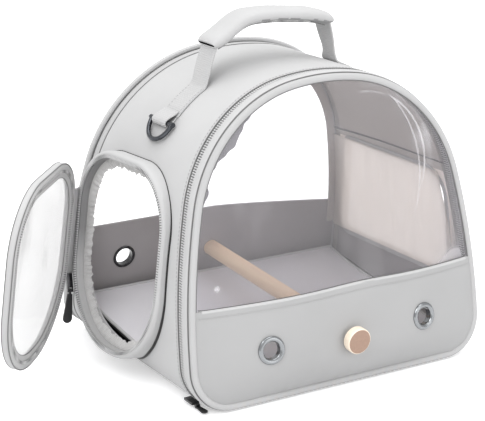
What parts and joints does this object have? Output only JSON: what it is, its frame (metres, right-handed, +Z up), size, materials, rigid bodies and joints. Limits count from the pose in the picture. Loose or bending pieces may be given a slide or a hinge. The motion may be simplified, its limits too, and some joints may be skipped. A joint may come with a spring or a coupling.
{
  "type": "bird travel carrier",
  "caption": "Soft-sided bird travel carrier with clear zip-open front, zipped side door, mesh window, wooden perch and top handle.",
  "frame": {"origin": "on the table under the middle of the base", "axes": "+X to the right seen from the front, front towards -Y, +Z up"},
  "size_m": [0.4271, 0.2665, 0.3155],
  "materials": {
    "cloth": "matte",
    "cloth_front": "matte",
    "cloth_rear": "matte",
    "lining_cloth": "matte",
    "binding": "matte",
    "zip_coil": "satin",
    "mesh": "matte",
    "clear_sheet": "gloss",
    "board": "matte",
    "floor_cloth": "matte",
    "chrome": "polished",
    "black_metal": "gloss",
    "gunmetal": "gloss",
    "pull_rubber": "matte",
    "wood": "matte",
    "brass": "satin"
  },
  "bodies": {
    "body": {"cover": "cloth", "base_cover": "cloth_front", "base_board": "board", "left_board": "board", "right_board": "board", "roof_board": "board", "lining": "lining_cloth", "body_zip_row": "zip_coil", "rear_band": "cloth", "rear_binding": "binding", "rear_panel": "cloth_rear", "rear_hem": "binding", "rear_window": "clear_sheet", "rear_eyelet": "black_metal", "rear_eyelet_washer": "black_metal", "mesh_window": "mesh", "mesh_window_trim": "binding", "door_collar": "cloth", "collar_lining": "lining_cloth", "collar_zip_row": "zip_coil", "collar_fringe": "mesh", "door_hinge_strip": "binding", "door_slider": "black_metal", "perch": "wood", "perch_inserts": "brass", "floor_wedges": "board", "flap_hinge_strip": "binding", "front_slider": "black_metal", "handle_webbing_left": "cloth", "handle_webbing_right": "cloth", "ring_loop_left": "cloth", "ring_loop_right": "cloth"},
    "flap": {"flap_panel": "cloth_front", "flap_panel_foot": "cloth_front", "flap_hem": "binding", "flap_window": "clear_sheet", "flap_binding": "binding", "flap_gusset": "cloth", "flap_zip_row": "zip_coil", "flap_eyelets": "chrome", "flap_eyelet_washers": "chrome"},
    "door": {"door_band": "binding", "door_panel": "clear_sheet", "door_zip_row": "zip_coil"},
    "door_pull": {"door_pull": "pull_rubber"},
    "front_pull": {"front_pull": "pull_rubber"},
    "handle": {"handle_risers": "cloth", "handle_grip": "cloth"},
    "strap_ring_left": {"strap_ring_left": "gunmetal"},
    "strap_ring_right": {"strap_ring_right": "gunmetal"},
    "front_knob": {"front_knob": "wood", "front_knob_screw": "brass"},
    "rear_knob": {"rear_knob": "wood", "rear_knob_screw": "brass"},
    "floor": {"floor_board": "floor_cloth"}
  },
  "joints": [
    {"name": "front_flap_open", "type": "hinge", "parent": "body", "child": "flap", "pos_m": [0, -0.1206, 0.0036], "axis": [1, 0, 0], "range_deg": [0, 56]},
    {"name": "side_door_swing", "type": "hinge", "parent": "body", "child": "door", "pos_m": [-0.1692, 0.0859, 0.1025], "axis": [0.0838, -0.0336, -0.9959], "range_deg": [-45.8, 70]},
    {"name": "handle_fold", "type": "hinge", "parent": "body", "child": "handle", "pos_m": [-0.078, -0.005, 0.2631], "axis": [0.9979, 0, 0.0647], "range_deg": [-50, 50]},
    {"name": "strap_ring_left_swing", "type": "hinge", "parent": "body", "child": "strap_ring_left", "pos_m": [-0.11296, -0.005, 0.22441], "axis": [0, 1, 0], "range_deg": [0, 120]},
    {"name": "strap_ring_right_swing", "type": "hinge", "parent": "body", "child": "strap_ring_right", "pos_m": [0.11296, -0.005, 0.22441], "axis": [0, -1, 0], "range_deg": [0, 120]},
    {"name": "door_pull_swing", "type": "hinge", "parent": "body", "child": "door_pull", "pos_m": [-0.16513, 0.07771, 0.05614], "axis": [0.9901, 0.019, -0.1392], "range_deg": [0, 100]},
    {"name": "front_pull_swing", "type": "hinge", "parent": "body", "child": "front_pull", "pos_m": [-0.1352, -0.1004, 0.0016], "axis": [0, 0, -1], "range_deg": [0, 90]},
    {"name": "front_knob_turn", "type": "hinge", "parent": "flap", "child": "front_knob", "pos_m": [0, -0.13, 0.047], "axis": [0, 0.9982, 0.0593], "continuous": true},
    {"name": "rear_knob_turn", "type": "hinge", "parent": "body", "child": "rear_knob", "pos_m": [0, 0.11956, 0.06183], "axis": [0, 0.9982, 0.0593], "continuous": true},
    {"name": "floor_board_lift", "type": "slide", "parent": "body", "child": "floor", "axis": [0, 0, 1], "range_m": [0, 0.012]}
  ]
}
